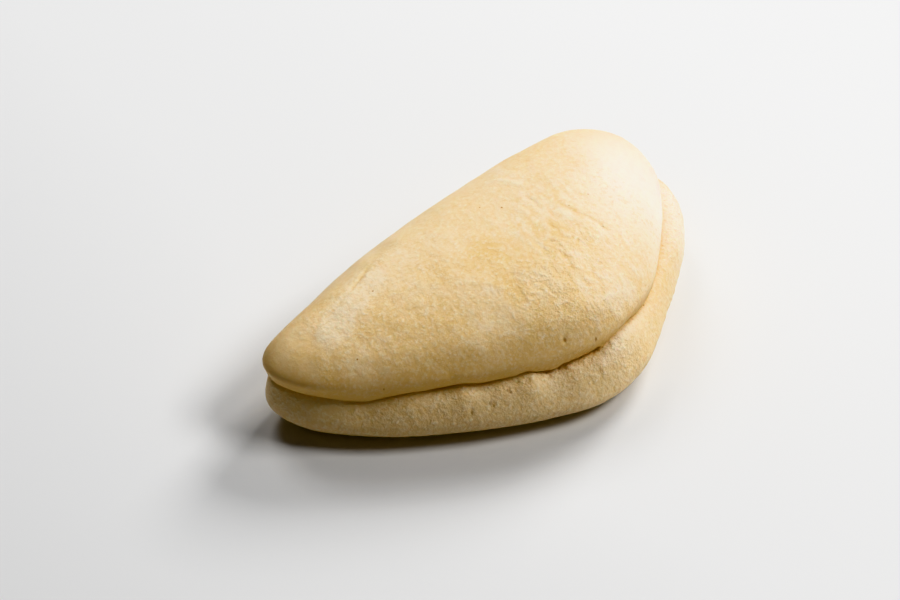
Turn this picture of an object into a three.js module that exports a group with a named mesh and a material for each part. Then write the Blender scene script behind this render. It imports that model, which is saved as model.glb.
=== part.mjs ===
import * as THREE from 'three';
import { mergeVertices } from 'three/addons/utils/BufferGeometryUtils.js';

// A folded steamed bun, in millimetres, +Z up, lying on its lower flap.
// An oval of dough was folded in half. The rounded fold is at the back (+Y). Round the front and
// both ends runs the open edge, where the upper flap meets the lower one in a closed seam.

// The dough's outer line seen from above, as [x, y], counter-clockwise from the right end.
const PLAN_POINTS = [
  [50.6, 14.3], // right end
  [44.2, 23.6], // right end of the fold
  [2.5, 26.3], // middle of the fold
  [-37, 21.5], // fold near the left end
  [-57, 13], // left end
  [-54, 1], // front left
  [-2.5, -28], // foremost point
  [20.5, -24], // front right
  [48, 0.5], // right side
];
const CROWN_X = 9;
const CROWN_Y = 8;
const CROWN_HEIGHT = 32;

// The end swell raises the top by this share, SWELL_SPAN to the right of the middle.
const END_SWELL = 0.19;
const SWELL_SPAN = 54;

// Open edge. From SOFT_NONE_X to SOFT_FULL_X the seam turns from a closed slit into a shallow soft
// groove, in which the two flaps have grown together.
const SEAM_HEIGHT = 14;
const SEAM_DEPTH = 5;
const LIP_GAP = 0.5;
const LIP_ROUND = 1;
const SOFT_SEAM_DEPTH = 2;
const SOFT_LIP_GAP = 0.8;
const SOFT_UPPER_LIP_ROUND = 0.4;
const SOFT_NONE_X = -7;
const SOFT_FULL_X = 4;
const UPPER_EDGE_HEIGHT = 20;
const UPPER_EDGE_BULGE = 0.4;
const UPPER_EDGE_INSET_RIGHT = 1.4;
const UPPER_EDGE_INSET_POWER = 6;

// How far the lower flap reaches past the outer line, and how much further it does so to the right,
// in front, where its foremost part is, and between the front and the left end.
const LOWER_FLAP_REACH = 1;
const LOWER_FLAP_REACH_RIGHT = 5;
const LOWER_FLAP_REACH_FRONT = 4;
const LOWER_FLAP_FRONT_POWER = 10;
const LOWER_FLAP_REACH_LEFT = 3.5;

// The lower flap's slope: its shoulder's share of the reach and drop below the seam, both of which
// make the flap fuller at the right end, then its widest line and its toe. The shoulder's share is
// also larger between the front and the left end.
const LOWER_FLAP_SHOULDER_SHARE = 0.4;
const LOWER_FLAP_SHOULDER_SHARE_RIGHT = 0.4;
const LOWER_FLAP_SHOULDER_SHARE_LEFT = 0.2;
const LOWER_FLAP_SHOULDER_DROP = 2.8;
const LOWER_FLAP_SHOULDER_RISE_RIGHT = 1;
const LOWER_FLAP_WIDEST_HEIGHT = 6;
const LOWER_FLAP_TOE_HEIGHT = 2;
const LOWER_FLAP_TOE_ROUND = 1.5;
const LOWER_FLAP_TOE_SHARE = 0.97;
const LOWER_FLAP_BASE_SHARE = 0.9;

// Fold.
const FOLD_HEIGHT = 16;
const FOLD_UNDERCUT = 4;
const FOLD_TUCK = 0.12;
const FOLD_STATIONS = 8;
const FOLD_FIRST_ANGLE = 5;
const FOLD_STEP_ANGLE = 12;

// The seam is at its deepest in front of OPEN_FULL_Y and has run out at OPEN_NONE_Y. The lower flap's
// reach starts to shrink further forward.
const OPEN_FULL_Y = 13;
const OPEN_NONE_Y = 26;
const REACH_FULL_Y = 7;
const REACH_NONE_Y = 23;

// Stations of the top and the base, as shares of the way out from the crown, and how the top
// curves down to the open edge and to the fold.
const DOME_SHARES = [0, 0.28, 0.5, 0.68, 0.82, 0.93];
const BASE_SHARES = [0.5, 0.25, 0];
const OPEN_DOME = { power: 2.4, root: 0.62 };
const FOLD_DOME = { power: 2.6, root: 0.5 };

// Facets.
const COLUMNS = 84;
const ROWS_PER_STATION = 2;
const NORMAL_SMOOTHING = 14;

// A station is (share of the way out from the crown, offset outwards, height).
function station(share, offset, height) {
  return new THREE.Vector3(share, offset, height);
}

function domeStations(edgeHeight, inset, { power, root }) {
  const rise = CROWN_HEIGHT - edgeHeight;
  return DOME_SHARES.map((share) => {
    const height = edgeHeight + rise * (1 - share ** power) ** root;
    return station(share, -inset * share ** UPPER_EDGE_INSET_POWER, height);
  });
}

function baseStations() {
  return BASE_SHARES.map((share) => station(share, 0, 0));
}

// A direction from the crown: rightness is 1 straight to the right, frontness 1 straight to the
// front, and between 1 halfway between the front and the left end.
function bearing(way) {
  const { x, y } = way.clone().normalize();
  const frontness = Math.max(0, -y);
  return { rightness: Math.max(0, x), frontness, between: 2 * frontness * Math.max(0, -x) };
}

// How far the lower flap reaches in a direction from the crown.
function lowerReach({ rightness, frontness, between }) {
  const toRight = LOWER_FLAP_REACH_RIGHT * rightness ** 2;
  const toFront = LOWER_FLAP_REACH_FRONT * frontness ** LOWER_FLAP_FRONT_POWER;
  return LOWER_FLAP_REACH + toRight + toFront + LOWER_FLAP_REACH_LEFT * between;
}

// From the crown over the upper flap, in and out of the seam, round the lower flap to the base.
function openStations(reach, { rightness, between }, softness) {
  const depth = THREE.MathUtils.lerp(SEAM_DEPTH, SOFT_SEAM_DEPTH, softness);
  const gap = THREE.MathUtils.lerp(LIP_GAP, SOFT_LIP_GAP, softness);
  const upperLip = THREE.MathUtils.lerp(LIP_ROUND, SOFT_UPPER_LIP_ROUND, softness);
  const inset = UPPER_EDGE_INSET_RIGHT * rightness ** 2;
  const bulge = UPPER_EDGE_BULGE - inset;
  const fuller = LOWER_FLAP_SHOULDER_SHARE_RIGHT * rightness ** 2 + LOWER_FLAP_SHOULDER_SHARE_LEFT * between;
  const shoulderShare = LOWER_FLAP_SHOULDER_SHARE + fuller;
  const shoulderDrop = LOWER_FLAP_SHOULDER_DROP - LOWER_FLAP_SHOULDER_RISE_RIGHT * rightness ** 2;
  return [
    ...domeStations(UPPER_EDGE_HEIGHT, inset, OPEN_DOME),
    station(1, bulge, UPPER_EDGE_HEIGHT),
    station(1, bulge, (SEAM_HEIGHT + UPPER_EDGE_HEIGHT) / 2),
    station(1, -upperLip, SEAM_HEIGHT + gap),
    station(1, -depth, SEAM_HEIGHT),
    station(1, -LIP_ROUND, SEAM_HEIGHT - gap),
    station(1, reach * shoulderShare, SEAM_HEIGHT - shoulderDrop),
    station(1, reach, LOWER_FLAP_WIDEST_HEIGHT),
    station(LOWER_FLAP_TOE_SHARE, reach - LOWER_FLAP_TOE_ROUND, LOWER_FLAP_TOE_HEIGHT),
    station(LOWER_FLAP_BASE_SHARE, -LIP_ROUND, 0),
    ...baseStations(),
  ];
}

// From the crown round the rolled back of the fold, then in under the bun to the base.
function foldStations({ rightness }) {
  const inset = UPPER_EDGE_INSET_RIGHT * rightness ** 2;
  const roll = Array.from({ length: FOLD_STATIONS }, (_, index) => {
    const angle = THREE.MathUtils.degToRad(FOLD_FIRST_ANGLE - index * FOLD_STEP_ANGLE);
    const turn = 1 - Math.cos(angle);
    return station(1 - FOLD_TUCK * turn, -FOLD_UNDERCUT * turn, FOLD_HEIGHT * (1 + Math.sin(angle)));
  });
  const rim = station(1 - FOLD_TUCK, -FOLD_UNDERCUT, 0);
  return [...domeStations(FOLD_HEIGHT, inset, FOLD_DOME), ...roll, rim, ...baseStations()];
}

function planCurve() {
  const points = PLAN_POINTS.map(([x, y]) => new THREE.Vector3(x, y, 0));
  return new THREE.CatmullRomCurve3(points, true, 'centripetal');
}

// Outward directions of the plan at its evenly spaced points, evened out over the neighbours.
function planNormals(points) {
  const count = points.length;
  const around = (list, index) => list[(index + count) % count];
  let normals = points.map((_, index) => {
    const along = around(points, index + 1).clone().sub(around(points, index - 1));
    return new THREE.Vector3(along.y, -along.x, 0).normalize();
  });
  for (let pass = 0; pass < NORMAL_SMOOTHING; pass += 1) {
    const previous = normals;
    normals = previous.map((normal, index) => {
      const sum = normal.clone().add(around(previous, index - 1)).add(around(previous, index + 1));
      return sum.normalize();
    });
  }
  return normals;
}

// One meridian of the bun, from the middle of the top to the middle of the base.
function meridian(planPoint, normal) {
  const crown = new THREE.Vector3(CROWN_X, CROWN_Y, 0);
  const way = planPoint.clone().sub(crown);
  const direction = bearing(way);
  const openness = 1 - THREE.MathUtils.smoothstep(planPoint.y, OPEN_FULL_Y, OPEN_NONE_Y);
  const reaching = 1 - THREE.MathUtils.smoothstep(planPoint.y, REACH_FULL_Y, REACH_NONE_Y);
  const softness = THREE.MathUtils.smoothstep(planPoint.x, SOFT_NONE_X, SOFT_FULL_X);
  const open = openStations(lowerReach(direction) * reaching, direction, softness);
  const stations = foldStations(direction).map((place, index) => place.lerp(open[index], openness));
  const profile = new THREE.CatmullRomCurve3(stations, false, 'catmullrom', 0.5);
  const rows = (stations.length - 1) * ROWS_PER_STATION;
  return Array.from({ length: rows + 1 }, (_, row) => {
    const { x: share, y: offset, z: height } = profile.getPoint(row / rows);
    const point = crown.clone().addScaledVector(way, share).addScaledVector(normal, offset);
    const level = Math.max(0, height);
    const swell = 1 + END_SWELL * (point.x / SWELL_SPAN) * (level / CROWN_HEIGHT);
    return point.setZ(level * swell);
  });
}

function bunGeometry() {
  const planPoints = planCurve().getSpacedPoints(COLUMNS).slice(0, COLUMNS);
  const normals = planNormals(planPoints);
  const meridians = planPoints.map((point, column) => meridian(point, normals[column]));
  const rows = meridians[0].length - 1;
  const sphere = new THREE.SphereGeometry(1, COLUMNS, rows);
  const position = sphere.attributes.position;
  for (let row = 0; row <= rows; row += 1) {
    for (let column = 0; column <= COLUMNS; column += 1) {
      const { x, y, z } = meridians[column % COLUMNS][row];
      position.setXYZ(row * (COLUMNS + 1) + column, x, y, z);
    }
  }
  sphere.deleteAttribute('normal');
  sphere.deleteAttribute('uv');
  const closed = mergeVertices(sphere);
  closed.computeBoundingBox();
  const middle = closed.boundingBox.getCenter(new THREE.Vector3());
  closed.translate(-middle.x, -middle.y, 0);
  closed.computeVertexNormals();
  return closed;
}

const dough = new THREE.MeshStandardMaterial({ color: 0xe6cc9c, roughness: 0.7, metalness: 0 });
const bun = new THREE.Mesh(bunGeometry(), dough);
bun.name = 'bun';

const steamedBun = new THREE.Group();
steamedBun.add(bun);

export default steamedBun;
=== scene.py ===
import math

import bpy
import numpy as np
from mathutils import Matrix, Vector, noise


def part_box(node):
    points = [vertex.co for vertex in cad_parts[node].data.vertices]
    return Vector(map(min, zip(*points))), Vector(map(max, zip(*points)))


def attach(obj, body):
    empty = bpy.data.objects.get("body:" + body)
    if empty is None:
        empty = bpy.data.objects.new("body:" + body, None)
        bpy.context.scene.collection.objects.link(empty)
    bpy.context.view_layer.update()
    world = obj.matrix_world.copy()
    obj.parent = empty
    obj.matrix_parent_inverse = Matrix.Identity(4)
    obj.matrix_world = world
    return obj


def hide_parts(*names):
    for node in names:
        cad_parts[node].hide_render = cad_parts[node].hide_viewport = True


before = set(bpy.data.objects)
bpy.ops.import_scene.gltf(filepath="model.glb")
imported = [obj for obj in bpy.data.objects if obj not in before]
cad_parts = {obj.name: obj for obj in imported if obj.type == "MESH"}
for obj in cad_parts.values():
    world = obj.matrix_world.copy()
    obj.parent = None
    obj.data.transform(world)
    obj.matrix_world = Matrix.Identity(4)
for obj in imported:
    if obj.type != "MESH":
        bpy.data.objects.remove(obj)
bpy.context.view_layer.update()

# A folded steamed bun, in metres, +Z up, lying on its lower flap. The rounded fold is at the back
# (+Y), and the open edge with its seam runs round the front and both ends.

# The dough's outer line seen from above, counter-clockwise from the right end.
PLAN_POINTS = np.array([
    [0.0506, 0.0143],   # right end
    [0.0442, 0.0236],   # right end of the fold
    [0.0025, 0.0263],   # middle of the fold
    [-0.037, 0.0215],   # fold near the left end
    [-0.057, 0.013],    # left end
    [-0.054, 0.001],    # front left
    [-0.0025, -0.028],  # foremost point
    [0.0205, -0.024],   # front right
    [0.048, 0.0005],    # right side
])
CROWN = np.array([0.009, 0.008])
CROWN_HEIGHT = 0.032
# The end swell raises the top by this share, SWELL_SPAN to the right of the middle.
END_SWELL = 0.19
SWELL_SPAN = 0.054

# Open edge. Along X, from SOFT_NONE_X to SOFT_FULL_X, the seam turns from a closed slit into a
# shallow soft groove, in which the two flaps have grown together.
SEAM_HEIGHT = 0.014
SEAM_DEPTH = 0.005
LIP_GAP = 0.0005
LIP_ROUND = 0.001
SOFT_SEAM_DEPTH = 0.002
SOFT_LIP_GAP = 0.0008
SOFT_UPPER_LIP_ROUND = 0.0004
SOFT_NONE_X = -0.007
SOFT_FULL_X = 0.004
UPPER_EDGE_HEIGHT = 0.020
UPPER_EDGE_BULGE = 0.0004
UPPER_EDGE_INSET_RIGHT = 0.0014
UPPER_EDGE_INSET_POWER = 6

# How far the lower flap reaches past the outer line, and how much further it does so to the right,
# in front, and between the front and the left end. Its shoulder is a share of the reach and a drop
# below the seam, then come its widest line, its toe and its base.
LOWER_FLAP_REACH = 0.001
LOWER_FLAP_REACH_RIGHT = 0.005
LOWER_FLAP_REACH_FRONT = 0.004
LOWER_FLAP_FRONT_POWER = 10
LOWER_FLAP_REACH_LEFT = 0.0035
LOWER_FLAP_SHOULDER_SHARE = 0.4
LOWER_FLAP_SHOULDER_SHARE_RIGHT = 0.4
LOWER_FLAP_SHOULDER_SHARE_LEFT = 0.2
LOWER_FLAP_SHOULDER_DROP = 0.0028
LOWER_FLAP_SHOULDER_RISE_RIGHT = 0.001
LOWER_FLAP_WIDEST_HEIGHT = 0.006
LOWER_FLAP_TOE_HEIGHT = 0.002
LOWER_FLAP_TOE_ROUND = 0.0015
LOWER_FLAP_TOE_SHARE = 0.97
LOWER_FLAP_BASE_SHARE = 0.9

# Fold.
FOLD_HEIGHT = 0.016
FOLD_UNDERCUT = 0.004
FOLD_TUCK = 0.12
FOLD_FIRST_ANGLE = 5
FOLD_STEP_ANGLE = 12
FOLD_STATIONS = 8
FOLD_ANGLES = np.radians(FOLD_FIRST_ANGLE - FOLD_STEP_ANGLE * np.arange(FOLD_STATIONS))

# Where along Y the seam and the lower flap's reach start to shrink and have run out.
OPEN_FULL_Y = 0.013
OPEN_NONE_Y = 0.026
REACH_FULL_Y = 0.007
REACH_NONE_Y = 0.023

# Stations of the top and the base, as shares of the way out from the crown, and how the top curves
# down to the open edge and to the fold, as (power, root).
DOME_SHARES = (0, 0.28, 0.5, 0.68, 0.82, 0.93)
BASE_SHARES = (0.5, 0.25, 0)
OPEN_DOME = (2.4, 0.62)
FOLD_DOME = (2.6, 0.5)

# The CAD solid's own grid, used to centre the plan as the solid is centred.
CAD_COLUMNS = 84
CAD_ROWS = 35
CAD_SMOOTHING = 14

# Points of the plan's curve from each of its given points to the next.
PLAN_STEPS_PER_SPAN = 100

# The skin's grid: columns round the plan, rows over the dome, then (station, station, rows).
COLUMNS = 600
DOME_ROWS = 106
ROW_BREAKS = ((6.0, 8.0, 12), (8.0, 10.0, 16), (10.0, 14.0, 23), (14.0, 17.0, 5))
SEAM_STATION = 9
LAST_STATION = 17

# From here on, places are in the frame. The seam hangs lower, or below zero is raised, at these
# places: place, drop, half length.
SAGS = (
    ((-0.0443, -0.0019), 0.0019, 0.0065),
    ((-0.0262, -0.0135), -0.0006, 0.0024),
    ((-0.0220, -0.0155), 0.0004, 0.0025),
    ((-0.0130, -0.0200), -0.0007, 0.0025),
    ((-0.0075, -0.0218), 0.0010, 0.0036),
    ((0.0115, -0.0245), -0.0020, 0.0075),
)
# Smooth noise is given as (height, size of its lumps, seed). The seam wanders by this much, and by
# more where it is crumbly.
SEAM_WANDER = (0.00012, 0.0035, 5.3)
CRUMBLY_WANDER = (0.00010, 0.0016, 8.1)
# Half the height of the seam's mouth: MOUTH_SHARE of the lips' gap, give or take MOUTH_CHANGE of it,
# and ragged where it is crumbly.
MOUTH_SHARE = 0.3
MOUTH_CHANGE = (0.3, 0.006, 2.9)
RAGGED_MOUTH = (0.0002, 0.0017, 9.7)
LEAST_MOUTH = 0.00003
# The seam is crumbly between the middle two of these along X, and less so to the right of them. It
# is fully so from CRUMBLY_FRONT_Y in front of the middle.
CRUMBLY_X = (-0.018, -0.012, 0.006, 0.016)
CRUMBLY_RIGHT_LOSS = 0.8
CRUMBLY_FRONT_Y = 0.010

# Wrinkles of the upper flap's skin: line, half width, height. Grooves are below zero and are painted more
# golden, as painted shade; ridges are above it and are painted paler, as painted light.
WRINKLES = (
    # where the skin turns over to the fold, at the left end
    (((-0.025, 0.0185), (-0.030, 0.0165), (-0.0345, 0.015), (-0.0415, 0.0135)), 0.0005, -0.00013),
    (((-0.0415, 0.0155), (-0.0445, 0.0135), (-0.049, 0.010)), 0.0006, -0.00006),
    # arc near the fold, right of the middle
    (((0.008, 0.019), (0.011, 0.0175), (0.0125, 0.0135), (0.0145, 0.0105)), 0.0007, 0.00010),
    (((0.0085, 0.016), (0.011, 0.014), (0.0125, 0.011)), 0.0006, -0.00004),
    # short wrinkles from the fold towards the seam
    (((0.011, 0.009), (0.0115, 0.007), (0.011, 0.0035)), 0.0005, -0.00010),
    (((0.008, 0.0075), (0.008, 0.005), (0.0075, 0.003)), 0.0006, 0.00007),
    (((0.0105, 0.0015), (0.0095, -0.0015), (0.0095, -0.005)), 0.0006, -0.00006),
    (((0.0195, 0.008), (0.0205, 0.005)), 0.0005, -0.00006),
    (((0.020, 0.003), (0.0225, 0.000)), 0.0006, -0.00005),
    (((0.0155, 0.002), (0.0165, -0.0015), (0.019, -0.007), (0.019, -0.0095)), 0.0005, -0.00009),
    (((0.0145, -0.0005), (0.0155, -0.0045), (0.0155, -0.0085)), 0.0006, 0.00006),
    (((0.0085, -0.0045), (0.011, -0.0075), (0.0125, -0.011)), 0.0005, -0.00006),
    (((0.008, -0.0055), (0.008, -0.0085), (0.0075, -0.0125)), 0.0006, 0.00009),
    (((0.0065, -0.0085), (0.0055, -0.013)), 0.0005, -0.00009),
    (((0.009, -0.014), (0.009, -0.0175), (0.0095, -0.020)), 0.0005, -0.00007),
    (((0.007, -0.012), (0.007, -0.018)), 0.0006, 0.00006),
    (((0.0035, -0.001), (0.004, -0.007)), 0.0005, -0.00005),
    (((0.0025, -0.0015), (0.0025, -0.007)), 0.0006, 0.00005),
    (((0.0215, -0.0105), (0.0205, -0.015), (0.0225, -0.0175)), 0.0006, -0.00005),
    # coarse bumps above the right part of the seam
    (((0.007, -0.0215), (0.0095, -0.0215), (0.011, -0.0225)), 0.0008, 0.00009),
    (((0.0075, -0.023), (0.0105, -0.0245)), 0.0008, 0.00009),
    (((0.013, -0.022), (0.017, -0.022)), 0.0008, 0.00007),
    (((0.0105, -0.0205), (0.014, -0.0215)), 0.0008, 0.00006),
    (((0.0085, -0.020), (0.007, -0.021), (0.007, -0.022)), 0.0006, -0.00006),
    # notch in the upper lip, left of the middle
    (((-0.0295, -0.0125), (-0.029, -0.0135), (-0.0275, -0.0135)), 0.0006, -0.00007),
)
# The height at which the painted shade of a groove and the painted light of a ridge reach full strength.
WRINKLE_FULL_SHADING = 0.00020

# Paler (above zero) and more golden (below) marks of the upper flap: line, half width, amount.
MARKS = (
    # rim of the pale patch at the left end
    (((-0.032, 0.016), (-0.0355, 0.0145), (-0.039, 0.0145)), 0.0007, 0.35),
    (((-0.048, 0.010), (-0.0445, 0.013), (-0.040, 0.015), (-0.0265, 0.0185)), 0.0007, -0.12),
    # pale streaks
    (((0.0135, 0.024), (0.0135, 0.017)), 0.0012, 0.30),
    (((-0.0145, 0.000), (-0.013, -0.0025)), 0.0010, 0.30),
    (((-0.013, -0.004), (-0.012, -0.006), (-0.0105, -0.0075)), 0.0011, 0.55),
    (((-0.0235, 0.0065), (-0.022, 0.0045), (-0.020, 0.001), (-0.019, -0.001)), 0.0015, 0.35),
    (((0.0105, -0.011), (0.011, -0.016)), 0.0009, 0.30),
    (((0.0075, -0.0205), (0.010, -0.022), (0.013, -0.023)), 0.0026, 0.22),
    (((0.010, -0.019), (0.017, -0.0195)), 0.0040, 0.35),
    (((-0.011, -0.0115), (-0.0095, -0.0145), (-0.0085, -0.0175)), 0.0018, 0.25),
    (((-0.0465, 0.0025), (-0.0445, -0.0005), (-0.042, -0.0035)), 0.0022, 0.25),
    (((-0.0225, 0.017), (-0.020, 0.017), (-0.0195, 0.0115)), 0.0016, 0.25),
    # golden marks
    (((-0.018, 0.0085), (-0.019, 0.0045)), 0.0025, -0.40),
    (((-0.0065, 0.007), (-0.005, 0.002), (-0.005, -0.0025)), 0.0032, -0.50),
    (((-0.0065, -0.0045), (-0.0075, -0.008), (-0.008, -0.0115)), 0.0020, -0.60),
    (((-0.0325, 0.005), (-0.0335, 0.000)), 0.0025, -0.35),
    (((-0.038, 0.0065), (-0.040, 0.002)), 0.0016, -0.40),
    (((0.0105, 0.0015), (0.0095, -0.005)), 0.0014, -0.50),
    (((0.026, 0.0125), (0.029, 0.007)), 0.0030, -0.25),
    (((-0.010, -0.0175), (-0.002, -0.0200), (0.004, -0.0220)), 0.0030, -0.60),
)
# The same for the lower flap.
LOWER_MARKS = (
    (((0.003, -0.026), (0.0065, -0.026), (0.013, -0.024), (0.023, -0.0195)), 0.0018, 0.75),
    (((-0.010, -0.0225), (-0.0025, -0.0245)), 0.0010, 0.30),
    # golden line on the lower lip along the seam's right part: partly the groove's colour, partly painted
    # shade
    (((0.029, -0.0155), (0.0345, -0.011), (0.041, -0.0055)), 0.0007, -0.60),
    (((0.0550, 0.014), (0.0535, 0.008), (0.0515, 0.001), (0.047, -0.005), (0.039, -0.0125)), 0.0052, 0.65),
    (((0.0545, 0.011), (0.0525, 0.004), (0.0495, -0.002), (0.045, -0.007)), 0.0034, 0.80),
)
# The ends of such lines fade over STROKE_END_LENGTH of the line to STROKE_END_STRENGTH.
STROKE_END_LENGTH = 0.25
STROKE_END_STRENGTH = 0.35

# Areas are given by their middle and half sizes along X and Y, and fade between these shares of the
# half sizes.
AREA_FADE = (0.6, 1.2)
# Paler areas of the upper flap and their amounts: the pale patch of the left end in three parts, then
# the skin near the fold.
PALE_AREAS = (
    (((-0.0418, 0.0105), (0.0058, 0.0052)), 0.60),
    (((-0.0358, 0.0125), (0.0052, 0.0042)), 0.60),
    (((-0.0305, 0.0145), (0.0062, 0.0048)), 0.60),
    (((-0.0080, 0.0170), (0.0300, 0.0130)), 0.30),
)
# A painted highlight: the skin at the right end is painted palest, up to near white, where the light falls
# brightest.
PAINTED_HIGHLIGHT_END = ((0.040, -0.003), (0.017, 0.020))
PAINTED_HIGHLIGHT_AMOUNT = 2

# Pits: place, half width, depth. Those of the lower flap lie just below the seam, and the seam's own
# lie in both lips.
UPPER_PITS = (
    ((0.0065, -0.0050), 0.0006, 0.00020),
    ((0.0190, -0.0079), 0.0006, 0.00020),
    ((-0.0050, -0.0228), 0.0005, 0.00030),
)
LOWER_PITS = (
    ((-0.0265, -0.0137), 0.0004, 0.00020),
    ((-0.0229, -0.0193), 0.0005, 0.00025),
    ((-0.0183, -0.0201), 0.0005, 0.00025),
    ((-0.0157, -0.0200), 0.0005, 0.00020),
    ((-0.0140, -0.0212), 0.0006, 0.00025),
    ((-0.0270, -0.0179), 0.0005, 0.00025),
    ((0.0013, -0.0277), 0.0004, 0.00020),
)
SEAM_PITS = (
    ((-0.0086, -0.0214), 0.0006, 0.00028),
    ((-0.0057, -0.0221), 0.0006, 0.00028),
    ((-0.0046, -0.0231), 0.0008, 0.00035),
    ((-0.0033, -0.0232), 0.0006, 0.00028),
    ((0.0000, -0.0230), 0.0007, 0.00035),
    ((0.0014, -0.0234), 0.0006, 0.00028),
    ((0.0030, -0.0240), 0.0007, 0.00032),
    ((0.0081, -0.0254), 0.0005, 0.00025),
    ((0.0217, -0.0195), 0.0005, 0.00025),
)
# Depth of a pit that is fully brown.
PIT_FULL_COLOUR = 0.0004

# Along X, the seam's skin turns golden over GROOVE_X, partly its own colour and partly painted shade, loses
# GROOVE_CREASE_LOSS of the slit's brown, and fades by GROOVE_END_LOSS over GROOVE_END_X.
GROOVE_X = (-0.006, 0.005)
GROOVE_END_X = (0.036, 0.050)
GROOVE_END_LOSS = 0.6
GROOVE_CREASE_LOSS = 0.85
# Widths of the coloured bands beside the lips: the groove's below and above the seam and the browner one
# left of the groove and above it, both partly painted shade, then the pits' and the crumbs'.
LOWER_GROOVE_BAND = 0.0008
UPPER_GROOVE_BAND = 0.0031
TAN_AND_SHADE_BAND = 0.0072
GROOVE_TAN_AND_SHADE_BAND = 0.0040
SEAM_PIT_BAND = 0.001
CRUMBLY_BAND = 0.0016

# Areas of wrinkled and of coarse skin, and the lower flap's coarsest end.
WRINKLED = ((0.015, -0.0056), (0.021, 0.020))
COARSE = ((0.013, -0.0156), (0.024, 0.013))
COARSE_FLAP_END = ((0.044, -0.006), (0.022, 0.020))
# Smooth skin: the right end, the left tip, a band along the upper lip, and the fold, which starts
# between SMOOTH_FOLD_Y, further back to the right, and is smoothest above SMOOTH_FOLD_HEIGHT.
SMOOTH_END = ((0.044, 0.0044), (0.014, 0.020))
SMOOTH_TIP = ((-0.056, 0.0124), (0.010, 0.009))
SMOOTH_TIP_AMOUNT = 0.6
SMOOTH_LIP_BAND = 0.003
SMOOTH_LIP_AMOUNT = 0.6
SMOOTH_FOLD_Y = (0.0174, 0.0234)
SMOOTH_FOLD_SLOPE = 0.06
SMOOTH_FOLD_HEIGHT = (0.014, 0.023)
SMOOTH_FOLD_LEAST = 0.05
SMOOTH_FOLD_GAIN = 0.65

# Relief. Slow unevenness of the risen dough, which is stronger on the left part of the fold.
BROAD_LUMPS = (0.0003, 0.022, 3.1)
LUMPS = (0.00018, 0.009, 11.7)
BUMPS = (0.00006, 0.0038, 23.9)
FOLD_LUMPS = (0.00020, 0.0065, 17.3)
FOLD_LUMPS_X = (0.0, -0.02)
FOLD_LUMPS_Y = (0.012, 0.020)
# Wrinkled skin. The shares by which X, Y and Z count draw its wrinkles out from fold to seam.
LONG_WRINKLES = (0.000025, 0.0019, 33.1)
LONG_WRINKLE_SHARES = (1, 0.3, 0.5)
FINE_WRINKLES = (0.000015, 0.0011, 35.7)
FINE_WRINKLE_SHARES = (1, 0.35, 0.5)
COARSE_BUMPS = (0.00003, 0.0013, 47.9)
# Lower flap: crumbs, higher at its coarsest end by LOWER_CRUMBS_GAIN, where lumps are added.
LOWER_CRUMBS = (0.00008, 0.0013, 51.3)
LOWER_CRUMBS_GAIN = 0.875
LOWER_LUMPS = (0.00015, 0.0040, 53.9)
# Seam: crumbs and bumps between the lips, which die out SEAM_RELIEF_REACH stations beyond them.
SEAM_CRUMBS = (0.00045, 0.0013, 57.7)
SEAM_BUMPS = (0.00010, 0.0022, 61.3)
SEAM_RELIEF_REACH = 0.35
# The upper skin gives way to the lower one between these stations, just round the seam's bottom.
LOWER_SKIN_STATIONS = (SEAM_STATION - 0.2, SEAM_STATION + 0.4)
# Height over which the relief starts above the flat base.
BASE_FADE = 0.003

# Colours.
CREAM = (0.865, 0.665, 0.388)
GOLD = (0.78, 0.56, 0.255)
PALE = (0.91, 0.79, 0.60)
# near white of the painted highlight at the right end
PAINTED_HIGHLIGHT_WHITE = (0.95, 0.88, 0.77)
# browner band above the seam: partly the dough's own browning, partly painted shade
TAN_AND_SHADE = (0.62, 0.40, 0.12)
# golden groove of the seam: partly its own colour, partly painted shade
GROOVE_GOLD_AND_SHADE = (0.68, 0.45, 0.17)
# lower flap: its own crumb colour, and in part painted shade, darker than the upper skin
FLAP_CRUMB_AND_SHADE = (0.80, 0.62, 0.36)
SEAM_BROWN = (0.62, 0.37, 0.11)
PIT_BROWN = (0.36, 0.19, 0.055)
SPECK_BROWN = (0.48, 0.26, 0.08)

# Values of the skin's own tones and of its painted light and shade, from the first to the second of these,
# turn the skin into the colour; values from 1 to 2, at the right end, are the painted highlight.
TONE_AND_PAINTED_LIGHT_COLOURS = ((0.0, 1.0, PALE), (1.0, 2.0, PAINTED_HIGHLIGHT_WHITE), (0.0, -1.0, GOLD))
FLAP_SHARE = 0.8
TAN_AND_SHADE_SHARE = 0.55
GROOVE_GOLD_AND_SHADE_SHARE = 0.9
PIT_SPECK_SHARE = 0.60

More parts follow.
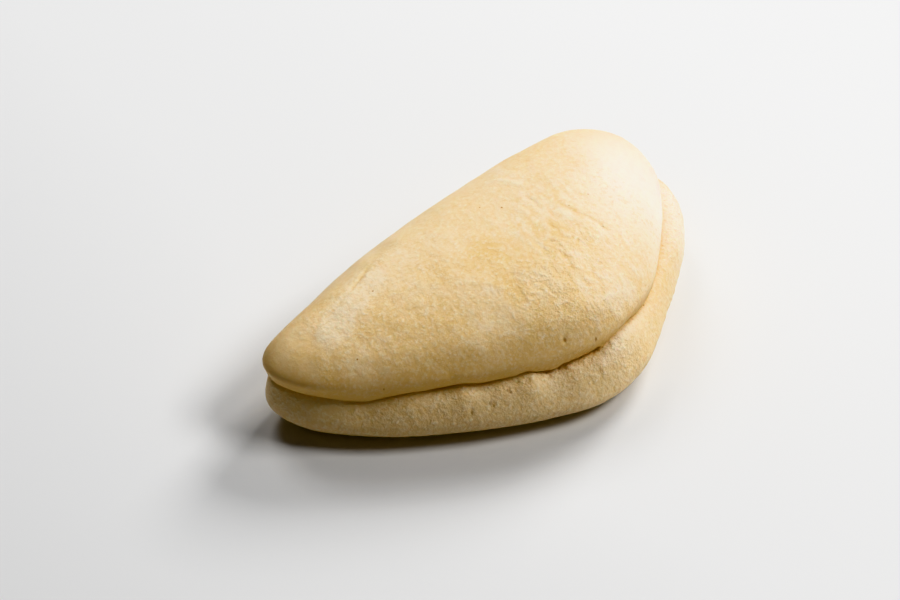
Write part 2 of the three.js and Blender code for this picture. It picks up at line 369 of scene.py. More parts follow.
# Small brown specks of the upper flap, and brown pits in the seam and the lower flap: place, radius.
SPECKS = (
    ((-0.0050, -0.0228, 0.0213), 0.00046),
    ((0.0018, -0.0254, 0.0192), 0.00034),
    ((0.0052, 0.0102, 0.0321), 0.00034),
    ((0.0017, 0.0136, 0.0318), 0.00022),
    ((0.0227, 0.0009, 0.0327), 0.00026),
    ((0.0167, 0.0006, 0.0328), 0.00024),
    ((-0.0306, 0.0114, 0.0265), 0.00026),
    ((-0.0434, 0.0008, 0.0213), 0.00026),
    ((-0.0415, -0.0058, 0.0161), 0.00022),
)
PIT_SPECKS = (
    ((-0.0266, -0.0137, 0.0125), 0.00036),
    ((-0.0270, -0.0179, 0.0094), 0.00034),
    ((-0.0230, -0.0192, 0.0107), 0.00036),
    ((-0.0225, -0.0199, 0.0102), 0.00030),
    ((-0.0185, -0.0198, 0.0122), 0.00040),
    ((-0.0181, -0.0205, 0.0119), 0.00036),
    ((-0.0157, -0.0200, 0.0125), 0.00036),
    ((-0.0140, -0.0209, 0.0124), 0.00044),
    ((-0.0139, -0.0219, 0.0122), 0.00032),
    ((-0.0086, -0.0214, 0.0132), 0.00050),
    ((-0.0057, -0.0221, 0.0125), 0.00050),
    ((-0.0046, -0.0231, 0.0131), 0.00060),
    ((-0.0035, -0.0234, 0.0145), 0.00060),
    ((-0.0003, -0.0229, 0.0135), 0.00060),
    ((0.0011, -0.0233, 0.0132), 0.00056),
    ((0.0029, -0.0239, 0.0135), 0.00056),
    ((0.0217, -0.0195, 0.0137), 0.00050),
)
# X, Y and Z count by these shares in the distance from a speck, so that it reaches the skin.
SPECK_SHARES = (1.0, 1.0, 0.4)
# Share of a speck's radius that has its full colour.
SPECK_CORE = 0.3

# Noise of the skin's looks: size, detail, roughness, seed.
MOTTLING = (0.013, 4.0, 0.55, 1.0)
GRAIN = (0.0010, 2.0, 0.55, 3.0)
FINE_GRAIN = (0.0006, 2.0, 0.6, 4.0)
PEEL = (0.0032, 2.0, 0.5, 5.0)
STREAKS = (0.0022, 2.0, 0.6, 6.0)
WISPS = (0.0060, 4.0, 0.62, 7.0)
# Shares by which X, Y and Z count, which draw the streaks and wisps out from fold to seam.
STREAK_SHARES = (1.0, 0.4, 0.6)
WISP_SHARES = (1.0, 0.45, 0.8)
# Layers of colour: the values at which a layer starts and is strongest, and its greatest share.
MOTTLING_LAYER = (0.34, 0.62, 0.55)
WISP_LAYER = (0.53, 0.70, 0.5)
STREAK_LAYER = (0.48, 0.64, 0.7)
# Pale flecks on the grain's raised bumps and golden hollows between them: partly the skin's speckle and
# partly painted light and shade of the bumps.
GRAIN_FLECKS_AND_LIGHT = (0.50, 0.68, 0.42)
FINE_FLECKS_AND_LIGHT = (0.54, 0.66, 0.45)
GRAIN_HOLLOWS_AND_SHADE = (0.49, 0.32, 0.45)
PITTED_LAYER = (0.2, 1.0, 0.60)
CRUMB_PIT_LAYER = (0.50, 0.38, 0.45)
# How much of the grain smooth skin loses, and how much of the peel it keeps.
SMOOTH_LOSS = 0.85
SMOOTH_PEEL = 0.3
# Strength of the grain at coarse values of 0 and of COARSEST, and what the lower flap adds.
COARSEST = 2.0
GRAIN_STRENGTH = (0.6, 1.9)
FLAP_GRAIN = 0.4
PEEL_HEIGHT = 0.00020
GRAIN_HEIGHT = 0.00014
FINE_GRAIN_HEIGHT = 0.00010
SKIN_ROUGHNESS = 0.50
SKIN_SPECULAR = 0.45
SUBSURFACE_WEIGHT = 0.2
SUBSURFACE_RADIUS = (0.0030, 0.0016, 0.0008)

# Width and height of each of the two flat maps of the skin, of a square of 1, and their middles.
MAP_SIZE = (0.47, 0.96)
UPPER_MAP_MIDDLE = (0.25, 0.5)
LOWER_MAP_MIDDLE = (0.75, 0.5)

# Stage. A camera azimuth of 0 looks along +Y.
FLOOR_HALF_SIZE = 3.0
FLOOR_COLOUR = (0.72, 0.72, 0.72, 1.0)
FLOOR_ROUGHNESS = 0.9
CAMERA_AZIMUTH = math.radians(-41.5)
CAMERA_ELEVATION = math.radians(41)
CAMERA_DISTANCE = 0.552
CAMERA_LENS = 97.8
CAMERA_SENSOR = 36
CAMERA_CLIP = (0.01, 20)
# The camera is placed round CAMERA_TARGET and turned aside from it by these distances.
CAMERA_TARGET = Vector((0.0010, 0.0036, 0.012))
CAMERA_ASIDE = -0.0125
CAMERA_ABOVE = -0.0006
LIGHT_DISTANCE = 0.95
LIGHT_TARGET_HEIGHT = 0.012
# Name, bearing and elevation in degrees, size, power in watts. A bearing of 0 is straight away from
# the camera, and 90 to its right.
LIGHTS = (
    ("key", 30, 34, 0.35, 5.3),
    ("right", 90, 50, 0.35, 4.2),
    ("left_back", 330, 50, 0.35, 2.0),
)
WORLD_LIGHT = 0.049

# Below this a length counts as zero.
TINY = 1e-14


def smoothstep(low, high, value):
    share = np.clip((value - low) / (high - low), 0, 1)
    return share * share * (3 - 2 * share)


def hermite(start, end, leave, arrive, share):
    """The cubic through start and end with those tangents."""
    return (
        (2 * start - 2 * end + leave + arrive) * share**3
        + (-3 * start + 3 * end - 2 * leave - arrive) * share**2
        + leave * share
        + start
    )


def closed_curve(points, per_span):
    """A closed centripetal Catmull-Rom curve through the points."""
    before, after, beyond = (np.roll(points, shift, axis=0) for shift in (1, -1, -2))
    first, middle, last = (
        np.sqrt(np.linalg.norm(b - a, axis=1))[:, None]
        for a, b in ((before, points), (points, after), (after, beyond))
    )
    leave = (
        (points - before) / first - (after - before) / (first + middle) + (after - points) / middle
    ) * middle
    arrive = (
        (after - points) / middle - (beyond - points) / (middle + last) + (beyond - after) / last
    ) * middle
    shares = np.arange(per_span)[:, None, None] / per_span
    spans = hermite(points, after, leave, arrive, shares)
    return spans.transpose(1, 0, 2).reshape(-1, points.shape[1])


def evenly(points, count):
    """Points at equal distances along a closed line."""
    ring = np.vstack([points, points[:1]])
    run = np.concatenate([[0], np.cumsum(np.linalg.norm(np.diff(ring, axis=0), axis=1))])
    places = np.linspace(0, run[-1], count, endpoint=False)
    return np.column_stack([np.interp(places, run, ring[:, axis]) for axis in range(2)])


def plan_normals(plan, passes):
    along = np.roll(plan, -1, axis=0) - np.roll(plan, 1, axis=0)
    normals = np.column_stack([along[:, 1], -along[:, 0]])
    normals /= np.linalg.norm(normals, axis=1)[:, None]
    for _ in range(passes):
        normals = normals + np.roll(normals, 1, axis=0) + np.roll(normals, -1, axis=0)
        normals /= np.linalg.norm(normals, axis=1)[:, None]
    return normals


def dome(edge_height, inset, curve):
    power, root = curve
    rise = CROWN_HEIGHT - edge_height
    return [
        (share, -inset * share**UPPER_EDGE_INSET_POWER, edge_height + rise * (1 - share**power) ** root)
        for share in DOME_SHARES
    ]


def bearings(way):
    """How far a way from the crown points to the right, to the front, and between front and left end."""
    rightward, backward = (way / np.linalg.norm(way, axis=1)[:, None]).T
    rightness, frontness = np.maximum(rightward, 0), np.maximum(-backward, 0)
    return rightness, frontness, 2 * frontness * np.maximum(-rightward, 0)


def lower_reach(rightness, frontness, between):
    to_right = LOWER_FLAP_REACH_RIGHT * rightness**2
    to_front = LOWER_FLAP_REACH_FRONT * frontness**LOWER_FLAP_FRONT_POWER
    return LOWER_FLAP_REACH + to_right + to_front + LOWER_FLAP_REACH_LEFT * between


def open_stations(reach, rightness, between, softness, sag, gap):
    """Top, seam, lower flap and base as (share, offset, height), one value for each column."""
    depth = SEAM_DEPTH + (SOFT_SEAM_DEPTH - SEAM_DEPTH) * softness
    gap = gap + (SOFT_LIP_GAP - LIP_GAP) * softness
    upper_lip = LIP_ROUND + (SOFT_UPPER_LIP_ROUND - LIP_ROUND) * softness
    inset = UPPER_EDGE_INSET_RIGHT * rightness**2
    bulge = UPPER_EDGE_BULGE - inset
    fuller = LOWER_FLAP_SHOULDER_SHARE_RIGHT * rightness**2 + LOWER_FLAP_SHOULDER_SHARE_LEFT * between
    shoulder_share = LOWER_FLAP_SHOULDER_SHARE + fuller
    shoulder_drop = LOWER_FLAP_SHOULDER_DROP - LOWER_FLAP_SHOULDER_RISE_RIGHT * rightness**2
    seam = SEAM_HEIGHT - sag
    return [
        *dome(UPPER_EDGE_HEIGHT, inset, OPEN_DOME),
        (1, bulge, UPPER_EDGE_HEIGHT),
        (1, bulge, (SEAM_HEIGHT + UPPER_EDGE_HEIGHT) / 2 - sag / 2),
        (1, -upper_lip, seam + gap),
        (1, -depth, seam),
        (1, -LIP_ROUND, seam - gap),
        (1, reach * shoulder_share, seam - shoulder_drop),
        (1, reach, LOWER_FLAP_WIDEST_HEIGHT),
        (LOWER_FLAP_TOE_SHARE, reach - LOWER_FLAP_TOE_ROUND, LOWER_FLAP_TOE_HEIGHT),
        (LOWER_FLAP_BASE_SHARE, -LIP_ROUND, 0),
        *((share, 0, 0) for share in BASE_SHARES),
    ]


def fold_stations(rightness):
    inset = UPPER_EDGE_INSET_RIGHT * rightness**2
    turns = 1 - np.cos(FOLD_ANGLES)
    roll = [
        (1 - FOLD_TUCK * turn, -FOLD_UNDERCUT * turn, FOLD_HEIGHT * (1 + math.sin(angle)))
        for turn, angle in zip(turns, FOLD_ANGLES)
    ]
    rim = (1 - FOLD_TUCK, -FOLD_UNDERCUT, 0)
    return [*dome(FOLD_HEIGHT, inset, FOLD_DOME), *roll, rim, *((share, 0, 0) for share in BASE_SHARES)]


def as_columns(stations, count):
    """An array of columns x stations x 3."""
    rows = [np.column_stack([np.broadcast_to(value, count) for value in place]) for place in stations]
    return np.stack(rows, axis=1)


def profile(stations, places):
    """A uniform Catmull-Rom curve through each column's stations, read at the places."""
    last = stations.shape[1] - 1
    spans = np.minimum(places.astype(int), last - 1)
    shares = (places - spans)[None, :, None]
    padded = np.concatenate([
        2 * stations[:, :1] - stations[:, 1:2],
        stations,
        2 * stations[:, -1:] - stations[:, -2:-1],
    ], axis=1)
    before, start, end, beyond = (padded[:, spans + step] for step in range(4))
    return hermite(start, end, (end - before) / 2, (beyond - start) / 2, shares)


def surface(columns, places, passes, sag, gap):
    """The bun's points as columns x rows x 3 before centring, and each column's openness."""
    plan = evenly(closed_curve(PLAN_POINTS, PLAN_STEPS_PER_SPAN), columns)
    normals = plan_normals(plan, passes)
    way = plan - CROWN
    rightness, frontness, between = bearings(way)
    openness = 1 - smoothstep(OPEN_FULL_Y, OPEN_NONE_Y, plan[:, 1])
    reaching = 1 - smoothstep(REACH_FULL_Y, REACH_NONE_Y, plan[:, 1])
    reach = lower_reach(rightness, frontness, between) * reaching
    folded = as_columns(fold_stations(rightness), columns)
    softness = smoothstep(SOFT_NONE_X, SOFT_FULL_X, plan[:, 0])
    opened = as_columns(open_stations(reach, rightness, between, softness, sag(plan), gap(plan)), columns)
    stations = folded + (opened - folded) * openness[:, None, None]
    share, offset, height = np.moveaxis(profile(stations, places), 2, 0)
    flat = CROWN + way[:, None] * share[..., None] + normals[:, None] * offset[..., None]
    level = np.maximum(height, 0)
    swell = 1 + END_SWELL * (flat[..., 0] / SWELL_SPAN) * (level / CROWN_HEIGHT)
    return np.dstack([flat, level * swell]), openness


def grid_normals(points):
    round_way = np.roll(points, -1, axis=0) - np.roll(points, 1, axis=0)
    down_way = np.gradient(points, axis=1)
    normals = np.cross(down_way, round_way)
    length = np.linalg.norm(normals, axis=2, keepdims=True)
    flat = length[..., 0] < TINY
    normals = normals / np.maximum(length, TINY)
    normals[flat] = (0, 0, 1)
    return normals


def noise_field(points, size, seed):
    """Smooth noise of about -1 to 1 whose lumps are about size across."""
    moved = (points.reshape(-1, 3) / size + seed).tolist()
    values = np.array([noise.noise(place) for place in moved])
    return values.reshape(points.shape[:-1])


def noise_layer(points, layer):
    """Smooth noise of that height, size and seed."""
    height, size, seed = layer
    return height * noise_field(points, size, seed)


def row_places():
    """Rows at even shares of the way over the dome, then closest round the seam."""
    stations = np.arange(len(DOME_SHARES) + 1)
    over = np.interp(np.linspace(0, 1, DOME_ROWS, endpoint=False), (*DOME_SHARES, 1), stations)
    rest = [np.linspace(start, end, rows, endpoint=False) for start, end, rows in ROW_BREAKS]
    return np.concatenate([over, *rest, [LAST_STATION]])


def line_distance(places, line):
    """Each place's distance to a line of points, and how far along the line it is, from 0 to 1."""
    corners = np.array(line)
    lengths = np.linalg.norm(np.diff(corners, axis=0), axis=1)
    starts = np.concatenate([[0], np.cumsum(lengths)])
    nearest = np.full(places.shape[:-1], np.inf)
    along = np.zeros(places.shape[:-1])
    for start, end, length, before in zip(corners, corners[1:], lengths, starts):
        share = np.clip((places - start) @ (end - start) / length**2, 0, 1)
        distance = np.linalg.norm(places - start - share[..., None] * (end - start), axis=-1)
        closer = distance < nearest
        nearest = np.where(closer, distance, nearest)
        along = np.where(closer, (before + share * length) / starts[-1], along)
    return nearest, along


def bell(distance, width):
    return np.exp(-((distance / width) ** 2))


def area(places, middle_and_sizes):
    """1 in the middle of an oval area seen from above, fading to 0 past its edge."""
    middle, sizes = np.array(middle_and_sizes)
    return 1 - smoothstep(*AREA_FADE, np.linalg.norm((places - middle) / sizes, axis=-1))


def strokes(places, listed):
    """The sum of soft lines: line, half width, amount."""
    total = np.zeros(places.shape[:-1])
    for line, width, amount in listed:
        distance, along = line_distance(places, line)
        inner = smoothstep(0, STROKE_END_LENGTH, along) * smoothstep(0, STROKE_END_LENGTH, 1 - along)
        strength = STROKE_END_STRENGTH + (1 - STROKE_END_STRENGTH) * inner
        total += amount * bell(distance, width) * strength
    return total


def pits(places, listed):
    """The sum of soft pits: place, half width, depth."""
    return sum(
        -depth * bell(np.linalg.norm(places - place, axis=-1), width) for place, width, depth in listed
    )


def flat_places(places):
    return np.column_stack([places, np.zeros(len(places))])


def crumbly(places):
    """1 where the seam's front is crumbly."""
    start, full, end, none = CRUMBLY_X
    right = 1 - CRUMBLY_RIGHT_LOSS * smoothstep(end, none, places[..., 0])
    return smoothstep(start, full, places[..., 0]) * right * smoothstep(0, CRUMBLY_FRONT_Y, -places[..., 1])


def seam_sag(places):
    """How far below its usual height the seam runs, for places round the plan."""
    placed = sum(drop * bell(np.linalg.norm(places - place, axis=1), length) for place, drop, length in SAGS)
    flat = flat_places(places)
    return placed + noise_layer(flat, SEAM_WANDER) + crumbly(places) * noise_layer(flat, CRUMBLY_WANDER)


def seam_mouth(places):
    """Half the height of the seam's mouth: thin, and ragged along the crumbly stretch."""
    flat = flat_places(places)
    ragged = crumbly(places) * noise_layer(flat, RAGGED_MOUTH)
    return np.maximum(LIP_GAP * (MOUTH_SHARE + noise_layer(flat, MOUTH_CHANGE)) + ragged, LEAST_MOUTH)


def upper_relief(points):
    """Outward movement of the upper flap's and the fold's skin."""
    places = points[..., :2]
    wrinkles = noise_layer(points * LONG_WRINKLE_SHARES, LONG_WRINKLES)
    wrinkles += noise_layer(points * FINE_WRINKLE_SHARES, FINE_WRINKLES)
    return (
        strokes(places, WRINKLES)
        + pits(places, UPPER_PITS)
        + wrinkles * area(places, WRINKLED)
        + noise_layer(points, COARSE_BUMPS) * area(places, COARSE)
    )


def lower_relief(points):
    """Outward movement of the lower flap's crumb-like skin, coarsest at the right end."""
    places = points[..., :2]
    coarsest = area(places, COARSE_FLAP_END)
    crumbs = (1 + LOWER_CRUMBS_GAIN * coarsest) * noise_layer(points, LOWER_CRUMBS)
    return pits(places, LOWER_PITS) + crumbs + coarsest * noise_layer(points, LOWER_LUMPS)


def relief(points, lower, nearness):
    """Slow unevenness of risen dough, then the relief of the seam and of the two flaps' own skins."""
    places = points[..., :2]
    fold = smoothstep(*FOLD_LUMPS_Y, places[..., 1]) * smoothstep(*FOLD_LUMPS_X, places[..., 0])
    dough = sum(noise_layer(points, layer) for layer in (BROAD_LUMPS, LUMPS, BUMPS))
    dough += noise_layer(points, FOLD_LUMPS) * fold
    seam = noise_layer(points, SEAM_CRUMBS) * crumbly(places) + pits(places, SEAM_PITS)
    seam += noise_layer(points, SEAM_BUMPS)
    return dough + seam * nearness + (1 - lower) * upper_relief(points) + lower * lower_relief(points)


def plan_shift():
    """How far the plan moves so that the solid's box stands over the frame's origin."""
    places = np.linspace(0, LAST_STATION, CAD_ROWS)
    solid, _ = surface(CAD_COLUMNS, places, CAD_SMOOTHING, lambda plan: 0, lambda plan: LIP_GAP)
    low, high = (np.array(corner[:2]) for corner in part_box("bun"))
    return (low + high - solid.min((0, 1))[:2] - solid.max((0, 1))[:2]) / 2


def bun_mesh():
    """The skin's points, and for each the values that the material reads."""
    rows = row_places()
    shift = plan_shift()
    passes = round(CAD_SMOOTHING * (COLUMNS / CAD_COLUMNS) ** 2)
    points, openness = surface(
        COLUMNS, rows, passes, lambda plan: seam_sag(plan + shift), lambda plan: seam_mouth(plan + shift)
    )
    points[..., :2] += shift
    openness = openness[:, None]
    beyond_lips = np.maximum(np.abs(rows - SEAM_STATION) - 1, 0)
    nearness = np.exp(-beyond_lips / SEAM_RELIEF_REACH)[None, :] * openness
    lower = smoothstep(*LOWER_SKIN_STATIONS, rows)[None, :] * openness
    raised = relief(points, lower, nearness) * smoothstep(0, BASE_FADE, points[..., 2])
    moved = points + grid_normals(points) * raised[..., None]
    moved[..., 2] = np.maximum(moved[..., 2], 0)
    return moved, skin_values(moved, rows, openness, lower)


def lip_distance(points, rows):
    """How far each point is from the nearer lip of the seam, along the skin."""
    run = np.cumsum(np.linalg.norm(np.diff(points, axis=1, prepend=points[:, :1]), axis=2), axis=1)
    upper_lip, lower_lip = (
        np.array([np.interp(SEAM_STATION + step, rows, line) for line in run])[:, None] for step in (-1, 1)
    )
    return np.maximum(np.maximum(upper_lip - run, run - lower_lip), 0)


def smoothness(points, from_lip):
    """How smooth the upper skin is, from 0 to 1."""
    places = points[..., :2]
    ends = area(places, SMOOTH_END) + SMOOTH_TIP_AMOUNT * area(places, SMOOTH_TIP)
    fold = smoothstep(*SMOOTH_FOLD_Y, places[..., 1] - SMOOTH_FOLD_SLOPE * places[..., 0])
    fold *= SMOOTH_FOLD_LEAST + SMOOTH_FOLD_GAIN * smoothstep(*SMOOTH_FOLD_HEIGHT, points[..., 2])
    return np.clip(ends + fold + SMOOTH_LIP_AMOUNT * bell(from_lip, SMOOTH_LIP_BAND), 0, 1)


def paleness_and_painted_light(places):
    """How much paler, or below zero more golden, the upper skin is, with painted light and shade on wrinkles
    and a painted highlight.
    """
    # wrinkles painted more golden in their grooves and paler on their ridges, as painted shade and light
    marks_and_painted_light = strokes(places, MARKS) + strokes(places, WRINKLES) / WRINKLE_FULL_SHADING
    marks_and_painted_light += np.max([amount * area(places, part) for part, amount in PALE_AREAS], axis=0)
    # painted highlight: the right end painted palest
    middle, sizes = PAINTED_HIGHLIGHT_END
    return marks_and_painted_light + PAINTED_HIGHLIGHT_AMOUNT * bell(np.linalg.norm((places - middle) / sizes, axis=-1), 1)


def skin_values(points, rows, openness, lower):
    """For each point, the values that the material reads by these names."""
    places = points[..., :2]
    from_lip = lip_distance(points, rows)
    inside = np.abs(rows - SEAM_STATION)[None, :] < 1
    groove = smoothstep(*GROOVE_X, places[..., 0])
    fading = 1 - GROOVE_END_LOSS * smoothstep(*GROOVE_END_X, places[..., 0])
    groove_band = np.where(lower > 0.5, LOWER_GROOVE_BAND, UPPER_GROOVE_BAND)
    tan_and_shade_band = TAN_AND_SHADE_BAND + (GROOVE_TAN_AND_SHADE_BAND - TAN_AND_SHADE_BAND) * groove
    pitted = (1 - lower) * pits(places, UPPER_PITS) + lower * pits(places, LOWER_PITS)
    pitted = pitted + bell(from_lip, SEAM_PIT_BAND) * pits(places, SEAM_PITS)
    return {
        "crease": inside * openness * (1 - GROOVE_CREASE_LOSS * groove),
        # browner band above the seam: partly browning, partly painted shade
        "tan_and_shade": bell(from_lip, tan_and_shade_band) * openness * (1 - lower) * fading,
        # golden band beside the groove's lips: partly its own colour, partly painted shade
        "groove": bell(from_lip, groove_band) * openness * groove * fading,
        "lower_flap": lower,
        "coarse": np.maximum(area(places, COARSE), lower * (1 + area(places, COARSE_FLAP_END))),
        "smooth": smoothness(points, from_lip) * (1 - lower),
        # pale and golden tones, painted light and shade on wrinkles and beside the seam, and the painted
        # highlight
        "tone_and_painted_light": paleness_and_painted_light(places) * (1 - lower) + strokes(places, LOWER_MARKS) * lower,
        "crumbly": crumbly(places) * openness * bell(from_lip, CRUMBLY_BAND),
        "pitted": -pitted / PIT_FULL_COLOUR,
        "wrinkled": area(places, WRINKLED) * (1 - lower),
    }


def grid_faces(columns, rows):
    """Corner indices of a closed grid whose first and last rows are single points, and each face's row."""
    index = np.arange(columns * (rows - 2)).reshape(rows - 2, columns)
    after = np.roll(index, -1, axis=1)
    quads = np.stack([index[:-1], index[1:], after[1:], after[:-1]], axis=-1).reshape(-1, 4)
    top, bottom = columns * (rows - 2), columns * (rows - 2) + 1
    first = np.column_stack([np.full(columns, top), index[0], after[0]])
    last = np.column_stack([np.full(columns, bottom), after[-1], index[-1]])
    face_rows = np.concatenate([
        np.repeat(np.arange(1, rows - 2), columns), np.zeros(columns), np.full(columns, rows - 2)
    ])
    return quads.tolist() + first.tolist() + last.tolist(), face_rows.astype(int)


def as_vertices(grid):
    """A columns x rows grid in the order of the mesh's vertices."""
    inner = grid[:, 1:-1].swapaxes(0, 1).reshape(-1, *grid.shape[2:])
    return np.concatenate([inner, grid[:1, 0], grid[:1, -1]])


def add_map(mesh, points, split_row, face_rows):
    """Two flat maps side by side: the upper skin down to the seam's bottom, and the rest."""
    run = np.cumsum(np.linalg.norm(np.diff(points, axis=1, prepend=points[:, :1]), axis=2), axis=1)
    plan = points[:, split_row, :2]
    low, high = plan.min(0), plan.max(0)
    rim = (plan - (low + high) / 2) / (high - low)
    inward = run / run[:, split_row:split_row + 1]
    outward = (run[:, -1:] - run) / (run[:, -1:] - run[:, split_row:split_row + 1])
    maps = []
    for share, middle in ((inward, UPPER_MAP_MIDDLE), (outward, LOWER_MAP_MIDDLE)):
        spread = rim[:, None, ::-1] * share[..., None] * MAP_SIZE
        maps.append(as_vertices(spread + middle))
    corners = np.zeros(len(mesh.loops), int)
    mesh.loops.foreach_get("vertex_index", corners)
    sizes = np.zeros(len(mesh.polygons), int)
    mesh.polygons.foreach_get("loop_total", sizes)
    below = np.repeat(face_rows >= split_row, sizes)
    layer = mesh.uv_layers.new(name="OFBake")
    layer.uv.foreach_set("vector", np.where(below[:, None], maps[1][corners], maps[0][corners]).ravel())


def grid_object(name, points, values, split_row):
    """A smooth mesh of the grid that carries the values, with its flat maps."""
    columns, rows, _ = points.shape
    faces, face_rows = grid_faces(columns, rows)
    mesh = bpy.data.meshes.new(name)
    mesh.from_pydata(as_vertices(points).tolist(), [], faces)
    mesh.shade_smooth()
    for label, grid in values.items():
        attribute = mesh.attributes.new(label, "FLOAT", "POINT")
        attribute.data.foreach_set("value", as_vertices(grid).astype(np.float32))
    add_map(mesh, points, split_row, face_rows)
    mesh.update()
    piece = bpy.data.objects.new(name, mesh)
    bpy.context.scene.collection.objects.link(piece)
    return piece


class Nodes:
    """Short calls that add shader nodes and link them."""

    def __init__(self, material):
        material.use_nodes = True
        self.tree = material.node_tree
        self.tree.nodes.clear()

    def add(self, kind, inputs=None, **settings):
        node = self.tree.nodes.new(kind)
        for key, value in settings.items():
            setattr(node, key, value)
        for key, value in (inputs or {}).items():
            if isinstance(value, bpy.types.NodeSocket):
                self.tree.links.new(value, node.inputs[key])
            else:
                node.inputs[key].default_value = value
        return node

    def place(self):
        return self.add("ShaderNodeTexCoord").outputs["Object"]

    def noise(self, place, size, detail, roughness, seed):
        inputs = {"Vector": place, "W": seed, "Scale": 1 / size, "Detail": detail, "Roughness": roughness}
        return self.add("ShaderNodeTexNoise", inputs, noise_dimensions="4D").outputs["Fac"]

    def vector(self, operation, first, second, output="Vector"):
        return self.add("ShaderNodeVectorMath", {0: first, 1: second}, operation=operation).outputs[output]

    def ramp(self, value, low, high, to_low=0.0, to_high=1.0):
        inputs = {"Value": value, "From Min": low, "From Max": high, "To Min": to_low, "To Max": to_high}
        return self.add("ShaderNodeMapRange", inputs, clamp=True).outputs["Result"]

    def layer(self, value, start, full, most):
        return self.ramp(value, start, full, 0.0, most)

    def maths(self, operation, first, second):
        return self.add("ShaderNodeMath", {0: first, 1: second}, operation=operation).outputs[0]

    def times(self, first, second):
        return self.maths("MULTIPLY", first, second)

    def mix(self, share, first, second):
        node = self.add("ShaderNodeMix", data_type="RGBA", clamp_factor=True)
        for socket, value in ((0, share), (6, first), (7, second)):
            if isinstance(value, bpy.types.NodeSocket):
                self.tree.links.new(value, node.inputs[socket])
            else:
                node.inputs[socket].default_value = value if socket == 0 else (*value, 1.0)
        return node.outputs[2]

    def attribute(self, label):
        return self.add("ShaderNodeAttribute", attribute_name=label).outputs["Fac"]

    def bump(self, height, distance, normal=None):
        inputs = {"Height": height, "Distance": distance, "Strength": 1.0}
        if normal is not None:
            inputs["Normal"] = normal
        return self.add("ShaderNodeBump", inputs).outputs["Normal"]


def specks(n, place, listed):
    """1 in the middle of each speck: place, radius."""
    found = 0.0
    counted = n.vector("MULTIPLY", place, SPECK_SHARES)
    for speck, radius in listed:
        middle = tuple(value * share for value, share in zip(speck, SPECK_SHARES))
        away = n.vector("DISTANCE", counted, middle, output="Value")
        found = n.maths("MAXIMUM", found, n.ramp(away, radius * SPECK_CORE, radius, 1.0, 0.0))
    return found


def skin_colour(n, place, skin, grain, fine, rough):
    """Cream with golden mottling, pale wisps, streaks and patches with painted light and shade, and pale and
    golden grain that is partly painted light and shade.
    """
    wisps = n.noise(n.vector("MULTIPLY", place, WISP_SHARES), *WISPS)
    streaks = n.noise(n.vector("MULTIPLY", place, STREAK_SHARES), *STREAKS)
    flecks_and_light = n.maths("ADD", n.layer(grain, *GRAIN_FLECKS_AND_LIGHT), n.layer(fine, *FINE_FLECKS_AND_LIGHT))
    colour = n.mix(n.layer(n.noise(place, *MOTTLING), *MOTTLING_LAYER), CREAM, GOLD)
    colour = n.mix(n.times(n.layer(wisps, *WISP_LAYER), rough), colour, PALE)
    colour = n.mix(n.times(n.layer(streaks, *STREAK_LAYER), skin["wrinkled"]), colour, PALE)
    # lower flap's colour, in part painted shade
    colour = n.mix(n.times(skin["lower_flap"], FLAP_SHARE), colour, FLAP_CRUMB_AND_SHADE)
    # own tones and painted light and shade, up to the near-white painted highlight
    for start, full, tone_and_painted_light in TONE_AND_PAINTED_LIGHT_COLOURS:
        colour = n.mix(n.ramp(skin["tone_and_painted_light"], start, full), colour, tone_and_painted_light)
    # pale grain tops: partly speckle, partly painted light of the bumps
    colour = n.mix(n.times(flecks_and_light, rough), colour, PALE)
    # golden grain hollows: partly speckle, partly painted shade of the bumps
    return n.mix(n.times(n.layer(grain, *GRAIN_HOLLOWS_AND_SHADE), rough), colour, GOLD)


def seam_colour(n, place, skin, grain, colour):
    """The same colour with the browner band above the seam and the golden groove, both partly painted shade,
    then the brown slit, pits and specks.
    """
    # browner band above the seam: partly browning, partly painted shade
    colour = n.mix(n.times(skin["tan_and_shade"], TAN_AND_SHADE_SHARE), colour, TAN_AND_SHADE)
    # golden groove: partly its own colour, partly painted shade
    colour = n.mix(n.times(skin["groove"], GROOVE_GOLD_AND_SHADE_SHARE), colour, GROOVE_GOLD_AND_SHADE)
    crumb_pits = n.times(skin["crumbly"], n.layer(grain, *CRUMB_PIT_LAYER))
    brown = n.maths("MAXIMUM", n.layer(skin["pitted"], *PITTED_LAYER), crumb_pits)
    colour = n.mix(brown, colour, PIT_BROWN)
    colour = n.mix(skin["crease"], colour, SEAM_BROWN)
    colour = n.mix(specks(n, place, SPECKS), colour, SPECK_BROWN)
    return n.mix(n.times(specks(n, place, PIT_SPECKS), PIT_SPECK_SHARE), colour, PIT_BROWN)


def skin_normal(n, place, skin, grain, fine, rough):
    """Dimples like those of peel, then the grain, weakest on smooth skin."""
    peel = n.times(n.noise(place, *PEEL), n.ramp(skin["smooth"], 0.0, 1.0, 1.0, SMOOTH_PEEL))
    strength = n.times(n.ramp(skin["coarse"], 0.0, COARSEST, *GRAIN_STRENGTH), rough)
    strength = n.maths("ADD", strength, n.times(skin["lower_flap"], FLAP_GRAIN))
    normal = n.bump(peel, PEEL_HEIGHT)
    normal = n.bump(n.times(grain, strength), GRAIN_HEIGHT, normal)
    return n.bump(n.times(fine, strength), FINE_GRAIN_HEIGHT, normal)


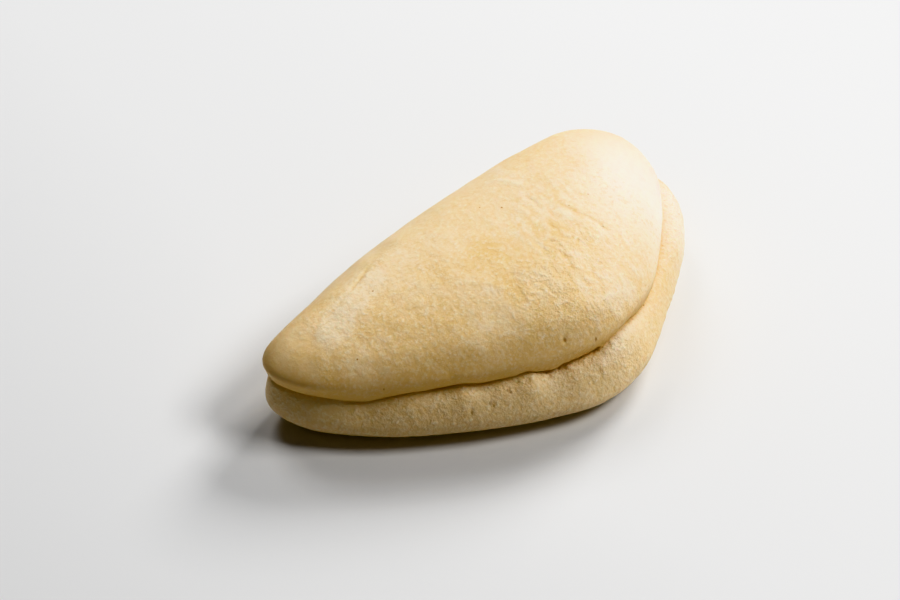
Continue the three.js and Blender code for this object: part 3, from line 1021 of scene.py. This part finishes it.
def dough_material(labels):
    material = bpy.data.materials.new("steamed_dough")
    n = Nodes(material)
    place = n.place()
    skin = {label: n.attribute(label) for label in labels}
    rough = n.maths("SUBTRACT", 1.0, n.times(skin["smooth"], SMOOTH_LOSS))
    grain = n.noise(place, *GRAIN)
    fine = n.noise(place, *FINE_GRAIN)
    colour = skin_colour(n, place, skin, grain, fine, rough)
    shader = n.add("ShaderNodeBsdfPrincipled", {
        "Base Color": seam_colour(n, place, skin, grain, colour),
        "Roughness": SKIN_ROUGHNESS,
        "Normal": skin_normal(n, place, skin, grain, fine, rough),
        "Subsurface Weight": SUBSURFACE_WEIGHT,
        "Subsurface Radius": SUBSURFACE_RADIUS,
        "Subsurface Scale": 1.0,
        "Specular IOR Level": SKIN_SPECULAR,
    })
    n.add("ShaderNodeOutputMaterial", {"Surface": shader.outputs["BSDF"]})
    return material


def build_bun():
    points, values = bun_mesh()
    split_row = int(np.argmin(np.abs(row_places() - SEAM_STATION)))
    bun = grid_object("steamed_bun", points, values, split_row)
    bun.data.materials.append(dough_material(values))
    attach(bun, "root")
    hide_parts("bun")


def build_floor():
    material = bpy.data.materials.new("pale_floor")
    n = Nodes(material)
    shader = n.add("ShaderNodeBsdfPrincipled", {"Base Color": FLOOR_COLOUR, "Roughness": FLOOR_ROUGHNESS})
    n.add("ShaderNodeOutputMaterial", {"Surface": shader.outputs["BSDF"]})
    square = ((-1, -1), (1, -1), (1, 1), (-1, 1))
    corners = [(x * FLOOR_HALF_SIZE, y * FLOOR_HALF_SIZE, 0) for x, y in square]
    mesh = bpy.data.meshes.new("floor")
    mesh.from_pydata(corners, [], [(0, 1, 2, 3)])
    floor = bpy.data.objects.new("floor", mesh)
    floor.data.materials.append(material)
    bpy.context.scene.collection.objects.link(floor)


def view_axes(azimuth, elevation):
    """Right, up and back of a camera that looks from that azimuth (0 looks along +Y) and elevation."""
    right = Vector((math.cos(azimuth), math.sin(azimuth), 0))
    back = Vector((
        math.sin(azimuth) * math.cos(elevation),
        -math.cos(azimuth) * math.cos(elevation),
        math.sin(elevation),
    ))
    return right, back.cross(right), back


def aim(obj, place, target):
    """Puts a camera or a light at the place, looking at the target."""
    back = (place - target).normalized()
    right = Vector((0, 0, 1)).cross(back).normalized()
    up = back.cross(right)
    rotation = Matrix((right, up, back)).transposed().to_4x4()
    obj.matrix_world = Matrix.Translation(place) @ rotation


def build_camera():
    right, up, back = view_axes(CAMERA_AZIMUTH, CAMERA_ELEVATION)
    camera_data = bpy.data.cameras.new("camera")
    camera_data.lens = CAMERA_LENS
    camera_data.sensor_width = CAMERA_SENSOR
    camera_data.clip_start, camera_data.clip_end = CAMERA_CLIP
    camera = bpy.data.objects.new("camera", camera_data)
    bpy.context.scene.collection.objects.link(camera)
    place = CAMERA_TARGET + back * CAMERA_DISTANCE
    aim(camera, place, CAMERA_TARGET + right * CAMERA_ASIDE + up * CAMERA_ABOVE)
    bpy.context.scene.camera = camera


def area_light(name, bearing, elevation, size, power):
    """A soft square light, as LIGHTS describes it."""
    right, _, back = view_axes(CAMERA_AZIMUTH, CAMERA_ELEVATION)
    away = Vector((-back.x, -back.y, 0)).normalized()
    turn, rise = math.radians(bearing), math.radians(elevation)
    level = away * math.cos(turn) + right * math.sin(turn)
    direction = level * math.cos(rise) + Vector((0, 0, 1)) * math.sin(rise)
    light_data = bpy.data.lights.new(name, "AREA")
    light_data.shape = "SQUARE"
    light_data.size = size
    light_data.energy = power
    light = bpy.data.objects.new(name, light_data)
    bpy.context.scene.collection.objects.link(light)
    aim(light, direction * LIGHT_DISTANCE, Vector((0, 0, LIGHT_TARGET_HEIGHT)))


def build_light():
    for light in LIGHTS:
        area_light(*light)
    world = bpy.data.worlds.new("studio")
    world.use_nodes = True
    background = world.node_tree.nodes["Background"]
    background.inputs["Color"].default_value = (1.0, 1.0, 1.0, 1.0)
    background.inputs["Strength"].default_value = WORLD_LIGHT
    scene = bpy.context.scene
    scene.world = world
    scene.view_settings.view_transform = "Khronos PBR Neutral"
    scene.view_settings.look = "High Contrast"


build_bun()
build_floor()
build_camera()
build_light()
